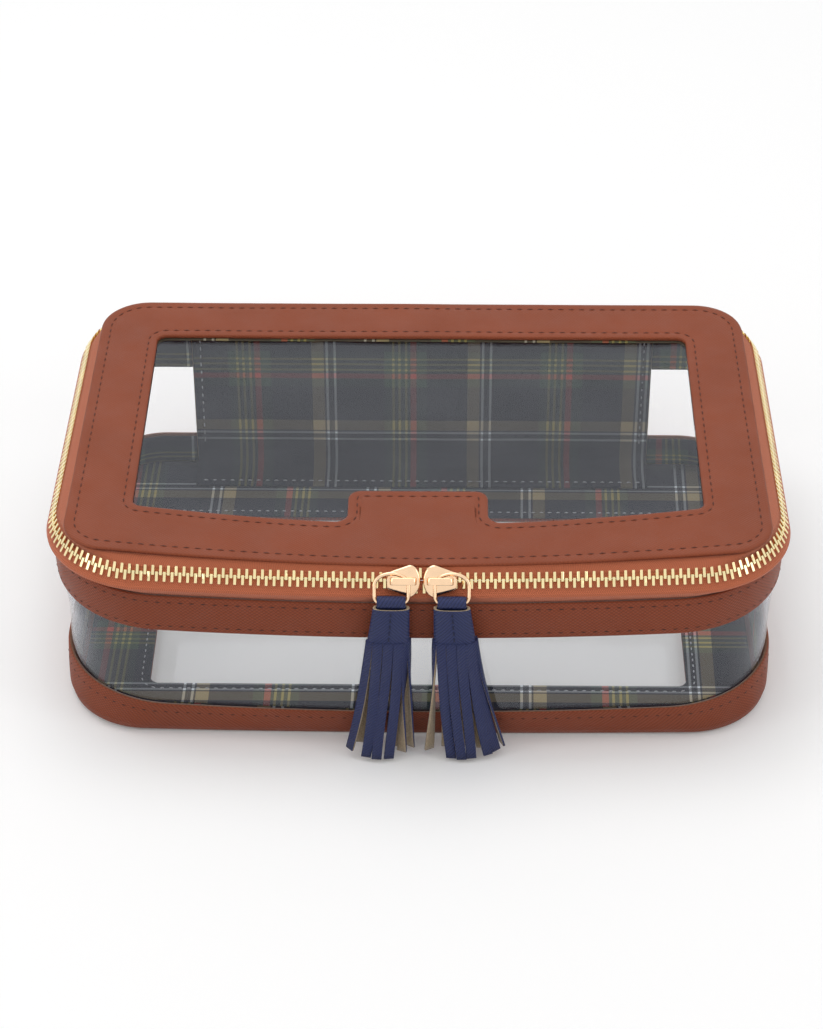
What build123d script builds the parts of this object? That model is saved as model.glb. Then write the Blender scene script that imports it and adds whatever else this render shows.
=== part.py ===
from build123d import *
import math
import os

os.makedirs("parts", exist_ok=True)

# Clear-sided case for a set of mahjong tiles, in millimetres.
# +X to the right, +Y to the back, +Z up. The case stands on Z = 0, and the origin
# lies midway between the outer face of its back and the front of its tassels.

# Overall sizes
back_y = 89.0
chain_z = 70.5
lid_top_z = 76.4

# Plan outlines from the foot up: half widths at the front and at the back, depth from
# the back to the front corners, bow of the front edge, and the corner radii
foot_half, foot_back_half, foot_depth = 123.3, 121.5, 159.8
foot_bow, foot_front_r, foot_back_r = 1.5, 28.0, 20.0
hem_half, hem_back_half, hem_depth = 125.3, 123.2, 161.8
hem_bow, hem_front_r, hem_back_r = 2.4, 30.0, 22.0
low_half, low_back_half, low_depth = 126.6, 123.8, 160.8
low_bow, low_front_r, low_back_r = 7.2, 42.0, 24.0
high_half, high_back_half, high_depth = 128.2, 125.3, 159.6
high_bow, high_front_r, high_back_r = 7.3, 42.0, 24.0
chain_half, chain_back_half, chain_depth = 126.2, 124.4, 157.3
chain_bow, chain_front_r, chain_back_r = 6.4, 33.0, 24.0
lid_half, lid_back_half, lid_depth = 121.3, 120.2, 152.1
lid_bow, lid_front_r, lid_back_r = 9.0, 15.0, 17.0
chain_back_in = 1.6
lid_back_in = 1.0

# Heights
hem_z = 3.0
low_band_z = 15.1
high_band_z = 47.7
band_top_z = 62.5
panel_top_z = 73.2

# Sheet thicknesses
leather_t = 1.2
base_leather_t = 1.4
lid_leather_t = 1.5
vinyl_t = 0.5
lining_t = 0.6
board_t = 1.0
tape_t = 0.7
layer_gap = 0.05

# Windows, laps and the back panel
window_margin = 22.5
window_r = 3.5
tab_half = 24.2
tab_depth = 18.5
tab_r = 4.5
floor_margin = 24.0
floor_side_margin = 29.0
floor_back_margin = 38.0
panel_from_corner = 11.7
sheet_lap = 9.0
lid_sheet_inset = 4.0
lid_seat_inset = 0.4

# Zipper chain: two rows of teeth clamped on two tapes, leaning in from upright
chain_lean = 34.0
tooth_pitch = 2.66
tooth_t = 2.6
tooth_w = 1.05
tooth_root = 2.9
tooth_tip = 0.65
tooth_notch = 0.6
tape_edge = 1.5
tape_straight = 5.6
stop_length = 3.4
chain_end_gap = 1.2

# Sliders, head to head at the middle of the front
meet_x = 1.7
nose_gap = 1.0
slider_length = 11.2
slider_half = 5.2
slider_tail_half = 4.3
plate_t = 1.4
plate_gap = 0.3
post_half = 0.62
post_length = 4.6
flange_w = 0.6
flange_t = 0.85
parting = 1.55
parting_flat = 5.2
parting_end = 11.0
bridge_w = 2.2
bridge_t = 1.1
bridge_start = 1.2
bridge_end = 10.2
bridge_leg = 1.0
tunnel = 2.2

# Rings
wire_r = 0.65
ring_half = 5.75
ring_drop = 0.8
ring_side = 4.2
ring_corner_r = 2.4
ring_cross = 4.0
ring_lift = 0.45

# Tassels
strap_t = 0.9
strap_half = 4.85
loop_r = 1.2
loop_drop = 0.26
stem_length = 8.0
head_half_w = 6.3
head_half_d = 3.9
head_corner_r = 3.2
head_flare = 0.9
head_length = 17.0
head_below = 3.0
head_set = 0.8
strip_w = 4.2
strip_t = 1.1
strip_count = 10
strip_spread = 6.0
strip_lean = 3.0
strip_front = 1.6
tassel_clear = 0.8

band_inset = leather_t + layer_gap
lining_inset = band_inset + tape_t + layer_gap
lean = math.radians(chain_lean)
panel_half = chain_back_half - chain_back_r - panel_from_corner
lid_low_z = lid_top_z - lid_leather_t
wall_open = panel_half + layer_gap
tape_open = wall_open + stop_length + layer_gap


def level(z, half, back_half, depth, bow, front_r, back_r, back_in=0.0, grow=0.0):
    """One plan outline of the wall, at its height."""
    return dict(z=z, half=half, back_half=back_half, depth=depth, bow=bow,
                front_r=front_r, back_r=back_r, back_in=back_in, grow=grow)


foot = level(0, foot_half, foot_back_half, foot_depth, foot_bow, foot_front_r, foot_back_r)
hem = level(hem_z, hem_half, hem_back_half, hem_depth, hem_bow, hem_front_r, hem_back_r)
low = level(low_band_z, low_half, low_back_half, low_depth, low_bow, low_front_r,
            low_back_r)
high = level(high_band_z, high_half, high_back_half, high_depth, high_bow, high_front_r,
             high_back_r)
top = dict(high, z=band_top_z)
chain = level(chain_z, chain_half, chain_back_half, chain_depth, chain_bow, chain_front_r,
              chain_back_r, chain_back_in)
lid = level(lid_top_z, lid_half, lid_back_half, lid_depth, lid_bow, lid_front_r,
            lid_back_r, lid_back_in)


def plan(shape, inset=0.0):
    """Face of a plan outline on Z = 0: straight sides, bowed front, round corners."""
    inset = inset - shape["grow"]
    back = back_y - shape["back_in"] - inset
    front = back_y - shape["depth"] + inset
    half = shape["half"] - inset
    back_half = shape["back_half"] - inset
    with BuildSketch(Plane.XY, mode=Mode.PRIVATE) as face:
        with BuildLine():
            Line((-back_half, back), (-half, front))
            ThreePointArc((-half, front), (0, front - shape["bow"]), (half, front))
            Line((half, front), (back_half, back))
            Line((back_half, back), (-back_half, back))
        make_face()
        corners = face.vertices().sort_by(Axis.Y)
        fillet(corners[:2], max(shape["front_r"] - inset, 1.0))
        corners = face.vertices().sort_by(Axis.Y)
        fillet(corners[-2:], max(shape["back_r"] - inset, 1.0))
    return face.sketch


def stack(levels, inset, mode=Mode.ADD):
    """Solid through a stack of outlines, each drawn in by the same inset."""
    sections = [plan(one, inset).moved(Location((0, 0, one["z"]))) for one in levels]
    loft(sections, ruled=True, mode=mode)


def keep_between(low_z, high_z):
    """Trim the part to a range of heights."""
    split(bisect_by=Plane.XY.offset(low_z), keep=Keep.TOP)
    split(bisect_by=Plane.XY.offset(high_z), keep=Keep.BOTTOM)


def wall(levels, inset, thickness, open_half):
    """Wall of one thickness, open at the back over twice the half width given."""
    stack(levels, inset)
    stack(levels, inset + thickness, mode=Mode.SUBTRACT)
    with Locations((0, back_y, lid_top_z / 2)):
        Box(2 * open_half, high_back_r, 2 * lid_top_z, mode=Mode.SUBTRACT)


def on_slope(offset, inset):
    """Chain outline moved up the slope of the tapes, for a sheet drawn at the inset."""
    grow = inset - offset * math.sin(lean)
    return dict(chain, z=chain_z + offset * math.cos(lean), grow=grow)


def floor_window():
    """Window of the floor, rounded at its corners."""
    front = back_y - hem_depth + floor_margin
    back = back_y - floor_back_margin
    half = hem_half - floor_side_margin
    with BuildSketch(Plane.XY, mode=Mode.PRIVATE) as hole:
        with Locations((0, (front + back) / 2)):
            RectangleRounded(2 * half, back - front, window_r)
    return hole.sketch


def lid_opening():
    """Window of the lid: it follows the lid's edge and leaves a tab at the front."""
    back = back_y - lid_back_in - window_margin
    front = back_y - lid_depth + window_margin
    half = lid_half - window_margin
    tab_y = front - lid_bow + tab_depth
    with BuildSketch(Plane.XY, mode=Mode.PRIVATE) as hole:
        with BuildLine():
            Line((-half, back), (-half, front))
            ThreePointArc((-half, front), (0, front - lid_bow), (half, front))
            Line((half, front), (half, back))
            Line((half, back), (-half, back))
        make_face()
        with Locations((0, tab_y - tab_depth)):
            Rectangle(2 * tab_half, 2 * tab_depth, mode=Mode.SUBTRACT)
        fillet(hole.vertices().filter_by(lambda one: abs(one.X) < tab_half + 1), tab_r)
        fillet(hole.vertices().filter_by(lambda one: abs(one.X) > half - 1), window_r)
    return hole.sketch


# Base: leather frame, clear sheet and tartan frame, one on another
with BuildPart() as base_frame:
    with BuildSketch():
        add(plan(foot, leather_t / 2))
        add(floor_window(), mode=Mode.SUBTRACT)
    extrude(amount=base_leather_t)
base_frame.part.label = "base_frame"

base_sheet_z = base_leather_t + layer_gap
with BuildPart() as base_window:
    with BuildSketch(Plane.XY.offset(base_sheet_z)):
        add(plan(foot, sheet_lap))
    extrude(amount=vinyl_t)
base_window.part.label = "base_window"

base_lining_z = base_sheet_z + vinyl_t + layer_gap
inner_floor_z = base_lining_z + lining_t + layer_gap
with BuildPart() as base_lining:
    with BuildSketch(Plane.XY.offset(base_lining_z)):
        add(plan(foot, lining_inset + lining_t))
        add(floor_window(), mode=Mode.SUBTRACT)
    extrude(amount=lining_t)
base_lining.part.label = "base_lining"

# Walls: leather bands outside, a clear sheet between them, tartan behind the bands
with BuildPart() as lower_band:
    wall([foot, hem, low], 0.0, leather_t, wall_open)
    keep_between(base_sheet_z, low_band_z)
lower_band.part.label = "lower_band"

with BuildPart() as lower_band_lining:
    wall([foot, hem, low], lining_inset, lining_t, wall_open)
    keep_between(inner_floor_z, low_band_z - lining_t)
lower_band_lining.part.label = "lower_band_lining"

with BuildPart() as clear_wall:
    wall([hem, low, high, top], band_inset, vinyl_t, wall_open)
    keep_between(low_band_z - sheet_lap, high_band_z + sheet_lap)
clear_wall.part.label = "clear_wall"

with BuildPart() as upper_band:
    wall([high, top], 0.0, leather_t, wall_open)
upper_band.part.label = "upper_band"

with BuildPart() as upper_band_lining:
    wall([high, top], lining_inset, lining_t, wall_open)
upper_band_lining.part.label = "upper_band_lining"

# Back: a stiff upright panel between the ends of the wall
with BuildPart() as back_panel:
    with Locations((0, back_y - leather_t / 2, (base_sheet_z + panel_top_z) / 2)):
        Box(2 * panel_half, leather_t, panel_top_z - base_sheet_z)
    foot_edges = back_panel.edges().filter_by(Axis.X).group_by(Axis.Z)[0]
    fillet(foot_edges.sort_by(Axis.Y)[-1], leather_t * 0.9)
back_panel.part.label = "back_panel"

board_y = back_y - leather_t - layer_gap
upright = panel_top_z - inner_floor_z
with BuildPart() as back_stiffener:
    with Locations((0, board_y - board_t / 2, inner_floor_z + upright / 2)):
        Box(2 * panel_half, board_t, upright)
back_stiffener.part.label = "back_stiffener"

lining_y = board_y - board_t - layer_gap
with BuildPart() as back_lining:
    with Locations((0, lining_y - lining_t / 2, inner_floor_z + upright / 2)):
        Box(2 * panel_half, lining_t, upright)
back_lining.part.label = "back_lining"

# Soft fold of leather that joins the lid to the top of the back panel
fold_t = lid_back_in - layer_gap
fold_low_z = panel_top_z + layer_gap
fold_z = lid_top_z - fold_t / 2 - fold_low_z
with BuildPart() as hinge_strip:
    with Locations((0, back_y - fold_t / 2, fold_low_z + fold_z / 2)):
        Box(2 * panel_half, fold_t, fold_z)
    fold_edges = hinge_strip.edges().filter_by(Axis.X).group_by(Axis.Z)[-1]
    fillet(fold_edges.sort_by(Axis.Y)[-1], fold_t * 0.9)
hinge_strip.part.label = "hinge_strip"

# Lid: leather frame with a bare tab, clear sheet and tartan frame, one under another
with BuildPart() as lid_frame:
    with BuildSketch(Plane.XY.offset(lid_low_z)):
        add(plan(lid))
        add(lid_opening(), mode=Mode.SUBTRACT)
    extrude(amount=lid_leather_t)
    fillet(lid_frame.edges().group_by(Axis.Z)[-1], lid_leather_t * 0.4)
lid_frame.part.label = "lid_frame"

lid_sheet_z = lid_low_z - layer_gap - vinyl_t
with BuildPart() as lid_window:
    with BuildSketch(Plane.XY.offset(lid_sheet_z)):
        add(plan(lid, lid_sheet_inset))
    extrude(amount=vinyl_t)
lid_window.part.label = "lid_window"

lid_lining_z = lid_sheet_z - layer_gap - lining_t
with BuildPart() as lid_lining:
    with BuildSketch(Plane.XY.offset(lid_lining_z)):
        add(plan(lid, lid_sheet_inset))
        add(lid_opening(), mode=Mode.SUBTRACT)
    extrude(amount=lining_t)
lid_lining.part.label = "lid_lining"

# Zipper: tapes, rows of teeth and end stops. The rows part where the sliders meet.
front_y = back_y - chain_depth - chain_bow
chain_end_x = panel_half + stop_length + chain_end_gap
slope = Vector(0, math.sin(lean), math.cos(lean))
outward = Vector(0, -math.cos(lean), math.sin(lean))
meet_point = Vector(meet_x, front_y, chain_z)
meet_plane = Plane(origin=meet_point, x_dir=(1, 0, 0), z_dir=outward)


def parted(x):
    """How far each row of teeth stands off the middle near the sliders."""
    share = (parting_end - abs(x - meet_x)) / (parting_end - parting_flat)
    return parting * min(1.0, max(0.0, share))


def chain_route():
    """Centre line of the chain, from the left end round the front to the right."""
    edges = plan(chain).face().outer_wire().edges().sort_by(Axis.Y)
    left, right = edges[-1].vertices().sort_by(Axis.X)
    start = Edge.make_line((-chain_end_x, left.Y, 0), (left.X, left.Y, 0))
    finish = Edge.make_line((right.X, right.Y, 0), (chain_end_x, right.Y, 0))
    return Wire([start] + list(edges[:-1]) + [finish])


route = chain_route()


def row_of_teeth(side, start):
    """Teeth of one row: each clamps the tape between two legs and meets the other row."""
    with BuildSketch(Plane.XY, mode=Mode.PRIVATE) as clamp:
        with BuildLine():
            Polyline((-side * tooth_tip, tooth_t / 2), (side * tooth_root, tooth_t / 2),
                     (side * tooth_notch, 0), (side * tooth_root, -tooth_t / 2),
                     (-side * tooth_tip, -tooth_t / 2), close=True)
        make_face()
    tooth = Solid.extrude(clamp.face().moved(Location((0, 0, -tooth_w / 2))),
                          Vector(0, 0, tooth_w))
    teeth = []
    for number in range(int((route.length - start) / tooth_pitch) + 1):
        share = (start + number * tooth_pitch) / route.length
        point = route.position_at(share)
        along = route.tangent_at(share)
        inward = Vector(-along.Y, along.X, 0)
        if inward.dot(point) > 0:
            inward = inward * -1
        up_slope = inward * math.sin(lean) + Vector(0, 0, math.cos(lean))
        shift = parted(point.X) * side if point.Y < front_y + chain_bow else 0.0
        place = Plane(origin=point + Vector(0, 0, chain_z) + up_slope * shift,
                      x_dir=up_slope, z_dir=along)
        teeth.append(tooth.moved(place.location))
    return teeth


with BuildPart() as zipper_teeth_lower:
    add(row_of_teeth(-1, tooth_pitch / 2))
zipper_teeth_lower.part.label = "zipper_teeth_lower"

with BuildPart() as zipper_teeth_upper:
    add(row_of_teeth(1, tooth_pitch))
zipper_teeth_upper.part.label = "zipper_teeth_upper"


def draw_tape_back(side):
    """Cut the tape's edge back where the rows part."""
    reach = parting_end + tooth_pitch
    deep = tape_edge + parting + layer_gap
    with BuildSketch(meet_plane, mode=Mode.PRIVATE) as gap:
        with BuildLine():
            Polyline((-reach, 0), (-reach, side * tape_edge),
                     (-parting_flat, side * deep), (parting_flat, side * deep),
                     (reach, side * tape_edge), (reach, 0), close=True)
        make_face()
    extrude(gap.sketch, amount=tooth_root, both=True, mode=Mode.SUBTRACT)


half_tape = tape_t / 2
tape_low = dict(high, z=high_band_z + sheet_lap + layer_gap)
tape_mid = band_inset + half_tape
with BuildPart() as zipper_tape_lower:
    wall([tape_low, top, on_slope(-tape_straight, tape_mid),
          on_slope(-tape_edge, tape_mid)], band_inset, tape_t, tape_open)
    draw_tape_back(-1)
zipper_tape_lower.part.label = "zipper_tape_lower"

lid_seat = dict(lid, z=lid_low_z - layer_gap, grow=half_tape - lid_seat_inset)
with BuildPart() as zipper_tape_upper:
    wall([on_slope(tape_edge, half_tape), on_slope(tooth_root + layer_gap, half_tape),
          lid_seat], 0.0, tape_t, tape_open)
    draw_tape_back(1)
zipper_tape_upper.part.label = "zipper_tape_upper"

with BuildPart() as zipper_end_stops:
    for end in (-1, 1):
        stop_x = end * (wall_open + stop_length / 2)
        with Locations((stop_x, back_y - chain_back_in, chain_z)):
            Box(stop_length, tooth_t, 2 * tape_edge)
    fillet(zipper_end_stops.edges().filter_by(Axis.Z), tooth_t / 4)
zipper_end_stops.part.label = "zipper_end_stops"

# Sliders, rings and tassels: the right ones, then their mirror images on the left
plate_low = tooth_t / 2 + plate_gap
plate_high = plate_low + plate_t
bar_low = plate_high + tunnel
ring_n = plate_high + ring_lift + wire_r
ring_centre = ring_cross + math.sqrt(ring_half ** 2 - ring_drop ** 2)
ring_low = ring_drop + ring_side + ring_corner_r
nose = Vector(meet_x + nose_gap / 2, front_y, chain_z)
shoulder = slider_length * 0.17
waist = slider_length * 0.48
mirror_plane = Plane.YZ.offset(meet_x)


def slider_plane(height):
    """Plane parallel to the slider's plates: X away from the nose, Y up the slope."""
    return Plane(origin=nose + outward * height, x_dir=(1, 0, 0), z_dir=outward)


def slider_outline(inset=0.0):
    """Plan of a slider's plates: broad shoulders at the nose, narrower at the tail."""
    half = slider_half - inset
    tail = slider_tail_half - inset
    with BuildSketch(Plane.XY, mode=Mode.PRIVATE) as shield:
        with BuildLine():
            Polyline((0, -half * 0.62), (shoulder, -half), (waist, -half),
                     (slider_length, -tail), (slider_length, tail), (waist, half),
                     (shoulder, half), (0, half * 0.62), close=True)
        make_face()
        fillet(shield.vertices(), flange_w)
    return shield.sketch


with BuildPart() as slider_right:
    for height in (plate_low, -plate_high):
        with BuildSketch(slider_plane(height)):
            add(slider_outline())
        extrude(amount=plate_t)
    for height in (plate_low - flange_t, -plate_low):
        with BuildSketch(slider_plane(height)):
            add(slider_outline())
            with BuildLine():
                inner = slider_half - flange_w
                tail = slider_tail_half - flange_w
                Polyline((-nose_gap, -inner), (waist, -inner),
                         (slider_length + nose_gap, -tail),
                         (slider_length + nose_gap, tail), (waist, inner),
                         (-nose_gap, inner), close=True)
            make_face(mode=Mode.SUBTRACT)
        extrude(amount=flange_t)
    with BuildSketch(slider_plane(-plate_low)):
        with BuildLine():
            Polyline((plate_gap, -post_half), (post_length / 2, -post_half),
                     (post_length, 0), (post_length / 2, post_half),
                     (plate_gap, post_half), close=True)
        make_face()
    extrude(amount=2 * plate_low)
    with BuildSketch(slider_plane(plate_high)):
        for end in (bridge_start + bridge_leg / 2, bridge_end - bridge_leg / 2):
            with Locations((end, 0)):
                Rectangle(bridge_leg, bridge_w)
    extrude(amount=tunnel)
    with BuildSketch(slider_plane(bar_low)):
        with Locations(((bridge_start + bridge_end) / 2, 0)):
            RectangleRounded(bridge_end - bridge_start, bridge_w, bridge_w / 4)
    extrude(amount=bridge_t)
slider_right.part.label = "slider_right"

# Ring: round over the top, flat at the bottom where the strap hangs
ring_in = ring_centre - ring_half
ring_out = ring_centre + ring_half
ring_bend = ring_drop + ring_side
with BuildPart() as ring_right:
    with BuildLine(slider_plane(ring_n)) as loop:
        arch = ThreePointArc((ring_in, -ring_drop), (ring_centre, ring_half - ring_drop),
                             (ring_out, -ring_drop))
        Line((ring_out, -ring_drop), (ring_out, -ring_bend))
        CenterArc((ring_out - ring_corner_r, -ring_bend), ring_corner_r, 0, -90)
        Line((ring_out - ring_corner_r, -ring_low), (ring_in + ring_corner_r, -ring_low))
        CenterArc((ring_in + ring_corner_r, -ring_bend), ring_corner_r, -90, -90)
        Line((ring_in, -ring_bend), (ring_in, -ring_drop))
    with BuildSketch(Plane(origin=arch @ 0, z_dir=arch % 0)):
        Circle(wire_r)
    sweep(path=loop.wire())
ring_right.part.label = "ring_right"

# Tassel: a strap folded over the ring, held in a rolled head that is cut into strips
tassel_x = nose.X + ring_centre
pivot = (Vector(tassel_x, front_y, chain_z) + outward * ring_n
         + slope * (loop_drop - ring_low))
band_front_y = back_y - high_depth - high_bow
head_y = min(pivot.Y - head_set, band_front_y - tassel_clear - head_half_d)
head_top_z = pivot.Z - head_below
head_low_z = head_top_z - head_length
stem_slot = stem_length - head_below + layer_gap

with BuildPart() as tassel_right_loop:
    with BuildSketch(Plane(origin=pivot, x_dir=(0, 1, 0), z_dir=(1, 0, 0))):
        Circle(loop_r + strap_t)
        with Locations((0, -stem_length / 2)):
            Rectangle(2 * strap_t, stem_length)
        Circle(loop_r, mode=Mode.SUBTRACT)
    extrude(amount=strap_half, both=True)
tassel_right_loop.part.label = "tassel_right_loop"


def strip(number):
    """One strip of the fringe, through three stations from the head to its tip."""
    turn = 2 * math.pi * (number + 0.5) / strip_count
    across, ahead = math.cos(turn), math.sin(turn)
    root_w = head_half_w + head_flare - strip_t / 2
    root_d = head_half_d - strip_t / 2
    facing = math.degrees(math.atan2(ahead * root_w, across * root_d))
    tip_z = tassel_clear + 1.2 * abs(across) + 0.4 * (number % 3)
    sections = []
    for height, share in ((head_low_z + strip_t, 0.0), (head_low_z / 2, 0.4), (tip_z, 1.0)):
        x = tassel_x + head_flare + across * (root_w + strip_spread * share)
        y = head_y + ahead * root_d - strip_front * max(0.0, -ahead) * share
        low_y = head_y + root_d - strip_t * share
        with BuildSketch(Plane.XY.offset(height), mode=Mode.PRIVATE) as cut:
            with Locations((x + strip_lean * share, min(y, low_y))):
                Rectangle(strip_t, strip_w, rotation=facing)
        sections.append(cut.sketch)
    return sections


with BuildPart() as tassel_right_fringe:
    for height, flare in ((head_top_z, 0.0), (head_low_z, head_flare)):
        with BuildSketch(Plane.XY.offset(height)):
            with Locations((tassel_x + flare, head_y)):
                RectangleRounded(2 * (head_half_w + flare), 2 * head_half_d,
                                 head_corner_r)
    loft(ruled=True)
    for number in range(strip_count):
        loft(strip(number), ruled=True)
    with Locations((tassel_x, pivot.Y, head_top_z - stem_slot / 2)):
        Box(2 * (strap_half + layer_gap), 2 * (strap_t + layer_gap), stem_slot,
            mode=Mode.SUBTRACT)
tassel_right_fringe.part.label = "tassel_right_fringe"

with BuildPart() as slider_left:
    mirror(slider_right.part, about=mirror_plane)
slider_left.part.label = "slider_left"

with BuildPart() as ring_left:
    mirror(ring_right.part, about=mirror_plane)
ring_left.part.label = "ring_left"

with BuildPart() as tassel_left_loop:
    mirror(tassel_right_loop.part, about=mirror_plane)
tassel_left_loop.part.label = "tassel_left_loop"

with BuildPart() as tassel_left_fringe:
    mirror(tassel_right_fringe.part, about=mirror_plane)
tassel_left_fringe.part.label = "tassel_left_fringe"

pieces = [
    base_frame, base_window, base_lining, lower_band, lower_band_lining, clear_wall,
    upper_band, upper_band_lining, back_panel, back_stiffener, back_lining, hinge_strip,
    lid_frame, lid_window, lid_lining, zipper_tape_lower, zipper_teeth_lower,
    zipper_end_stops, zipper_tape_upper, zipper_teeth_upper, slider_left, slider_right,
    ring_left, ring_right, tassel_left_loop, tassel_right_loop, tassel_left_fringe,
    tassel_right_fringe,
]
for piece in pieces:
    export_step(piece.part, "parts/" + piece.part.label + ".step")

# Places of the joints
arc_radius = (chain_half ** 2 + chain_bow ** 2) / (2 * chain_bow)
crossing = nose + Vector(ring_cross, 0, 0) + outward * ring_n
print("slider arc centre", 0.0, round(front_y + arc_radius, 3), "radius", arc_radius)
print("right ring crossing", [round(one, 3) for one in crossing])
print("right tassel pivot", [round(one, 3) for one in pivot])
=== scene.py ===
import math
import random

import bmesh
import bpy
import numpy as np
from mathutils import Matrix, Vector


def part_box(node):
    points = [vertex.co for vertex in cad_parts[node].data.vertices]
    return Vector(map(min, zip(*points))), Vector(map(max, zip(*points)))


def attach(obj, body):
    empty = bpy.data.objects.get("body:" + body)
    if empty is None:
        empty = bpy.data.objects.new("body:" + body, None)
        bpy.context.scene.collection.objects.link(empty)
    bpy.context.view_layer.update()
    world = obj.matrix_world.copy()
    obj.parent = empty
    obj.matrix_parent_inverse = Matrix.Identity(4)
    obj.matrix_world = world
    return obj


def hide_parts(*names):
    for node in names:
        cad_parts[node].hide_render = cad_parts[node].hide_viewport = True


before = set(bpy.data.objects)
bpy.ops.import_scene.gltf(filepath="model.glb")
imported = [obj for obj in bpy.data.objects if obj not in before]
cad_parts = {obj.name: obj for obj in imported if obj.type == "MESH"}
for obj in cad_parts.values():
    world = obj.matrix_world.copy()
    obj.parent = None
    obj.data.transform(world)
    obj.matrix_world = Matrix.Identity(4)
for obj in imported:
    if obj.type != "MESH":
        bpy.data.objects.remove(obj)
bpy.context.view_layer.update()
draw = random.Random(7)

# Everything below is worked out in millimetres and built in metres
MM = 0.001


def box(node):
    """Low and high corner of a CAD node, in millimetres."""
    return [np.array(corner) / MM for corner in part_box(node)]


# Plan outlines of the case from the foot up, as in the model: height, half widths at
# the front and the back, depth, bow of the front, front and back corner radii
FOOT = (0.0, 123.3, 121.5, 159.8, 1.5, 28.0, 20.0)
HEM = (3.0, 125.3, 123.2, 161.8, 2.4, 30.0, 22.0)
LOW = (15.1, 126.6, 123.8, 160.8, 7.2, 42.0, 24.0)
HIGH = (47.7, 128.2, 125.3, 159.6, 7.3, 42.0, 24.0)
TOP = (62.5, 128.2, 125.3, 159.6, 7.3, 42.0, 24.0)
CHAIN = (70.5, 126.2, 124.4, 157.3, 6.4, 33.0, 24.0)
LID = (76.4, 121.3, 120.2, 152.1, 9.0, 15.0, 17.0)
WALL = [FOOT, HEM, LOW, HIGH, TOP]

panel_half, back_y, panel_top_z = box("back_panel")[1]
lid_low_z, lid_top_z = (corner[2] for corner in box("lid_frame"))
low_band_z = box("lower_band")[1][2]
band_low_z, band_top_z = (corner[2] for corner in box("upper_band"))
inner_floor_z = box("lower_band_lining")[0][2]
chain_z = CHAIN[0]
chain_back_in = 1.6
lid_back_in = 1.0
lean = math.radians(34.0)
meet_x = 1.7

leather_t = 1.2
vinyl_t = 0.5
lining_t = 0.6
lining_inset = 2.0
# Half of the gap that the wall, the bands and the tapes leave at the back
wall_open = panel_half + 0.05

window_margin = 22.5
window_r = 3.5
tab_half = 24.2
tab_depth = 18.5
tab_r = 4.5

# Near the sliders' meeting place each row of teeth moves off by this, in full up to the
# first distance and no more from the second, and only in front of the last
part_rise, part_full, part_end, part_y = 1.55, 5.2, 11.0, -40.0

stitch_pitch = 3.9
tartan_sett = 60.3
# Where the back's check has a pale pair, across and in height
check_x, check_z = 25.0, 16.1

# Samples along one half of an outline: back run, back corner, side, front corner, front
RUN, BACK_BEND, SIDE, FRONT_BEND, FRONT = 10, 14, 40, 26, 48
EVEN = np.linspace(0, 1, FRONT, endpoint=False)
# The lid's front samples crowd beside its tab, so that no face crosses the tab's edge
AT_TAB = np.concatenate([np.linspace(0, 0.75, FRONT // 2, endpoint=False),
                         np.linspace(0.75, 0.87, 3 * (FRONT // 8), endpoint=False),
                         np.linspace(0.87, 1, FRONT // 8, endpoint=False)])


def between(first, last, count):
    """Points from first towards last, without last."""
    share = np.linspace(0, 1, count, endpoint=False)[:, None]
    return np.array(first) * (1 - share) + np.array(last) * share


def arc(centre, radius, start, end, count, last=False):
    """Points on an arc between two angles in degrees, with or without the last."""
    turn = np.radians(np.linspace(start, end, count, endpoint=last))
    return np.array(centre) + radius * np.stack([np.cos(turn), np.sin(turn)], 1)


def run_along(path):
    """Distance from a path's start to each of its points."""
    return np.concatenate([[0], np.cumsum(np.linalg.norm(np.diff(path, axis=0), axis=1))])


def both_sides(right):
    """A whole outline from its right half, from the back round the left to the right."""
    left = right * np.array([-1, 1])
    return np.concatenate([left, right[-2::-1]])


def outline(shape, inset=0.0, back_in=0.0, open_half=None, shares=EVEN):
    """Outline drawn in by an inset: open at the back, or closed without a last point."""
    half, back_half, depth, bow, front_r, back_r = shape[1:]
    back = back_y - back_in - inset
    front = back_y - depth + inset
    half, back_half = half - inset, back_half - inset
    front_r, back_r = max(front_r - inset, 1.0), max(back_r - inset, 1.0)
    start = np.array([back_half, back])
    down = np.array([half - back_half, front - back])
    down = down / np.linalg.norm(down)
    inward = np.array([down[1], -down[0]])
    out_angle = math.degrees(math.atan2(-inward[1], -inward[0]))
    reach = (-back_r - back_r * inward[1]) / down[1]
    back_centre = start + reach * down + back_r * inward
    bow_r = (half ** 2 + bow ** 2) / (2 * bow)
    bow_centre = np.array([0, front - bow + bow_r])
    gap = start + front_r * inward - bow_centre
    along = gap @ down
    reach = -along + math.sqrt(along ** 2 - gap @ gap + (bow_r - front_r) ** 2)
    front_centre = start + reach * down + front_r * inward
    away = front_centre - bow_centre
    bow_angle = math.degrees(math.atan2(away[1], away[0]))
    first = np.array([open_half or 0.0, back])
    turn = np.radians(bow_angle + (-90 - bow_angle) * shares)
    right = np.concatenate([
        between(first, (back_centre[0], back), RUN),
        arc(back_centre, back_r, 90, out_angle, BACK_BEND),
        between(back_centre - back_r * inward, front_centre - front_r * inward, SIDE),
        arc(front_centre, front_r, out_angle, bow_angle, FRONT_BEND),
        bow_centre + bow_r * np.stack([np.cos(turn), np.sin(turn)], 1),
        [[0, front - bow]],
    ])
    whole = both_sides(right)
    return whole if open_half else whole[:-1]


def window_edge(half, back, corner_y, front):
    """Edge of a window, with the parts of its right front given."""
    corner_x = half - window_r
    right = np.concatenate([
        between((0, back), (corner_x, back), RUN),
        arc((corner_x, back - window_r), window_r, 90, 0, BACK_BEND),
        between((half, back - window_r), (half, corner_y), SIDE),
        *front,
    ])
    return both_sides(right)[:-1]


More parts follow.
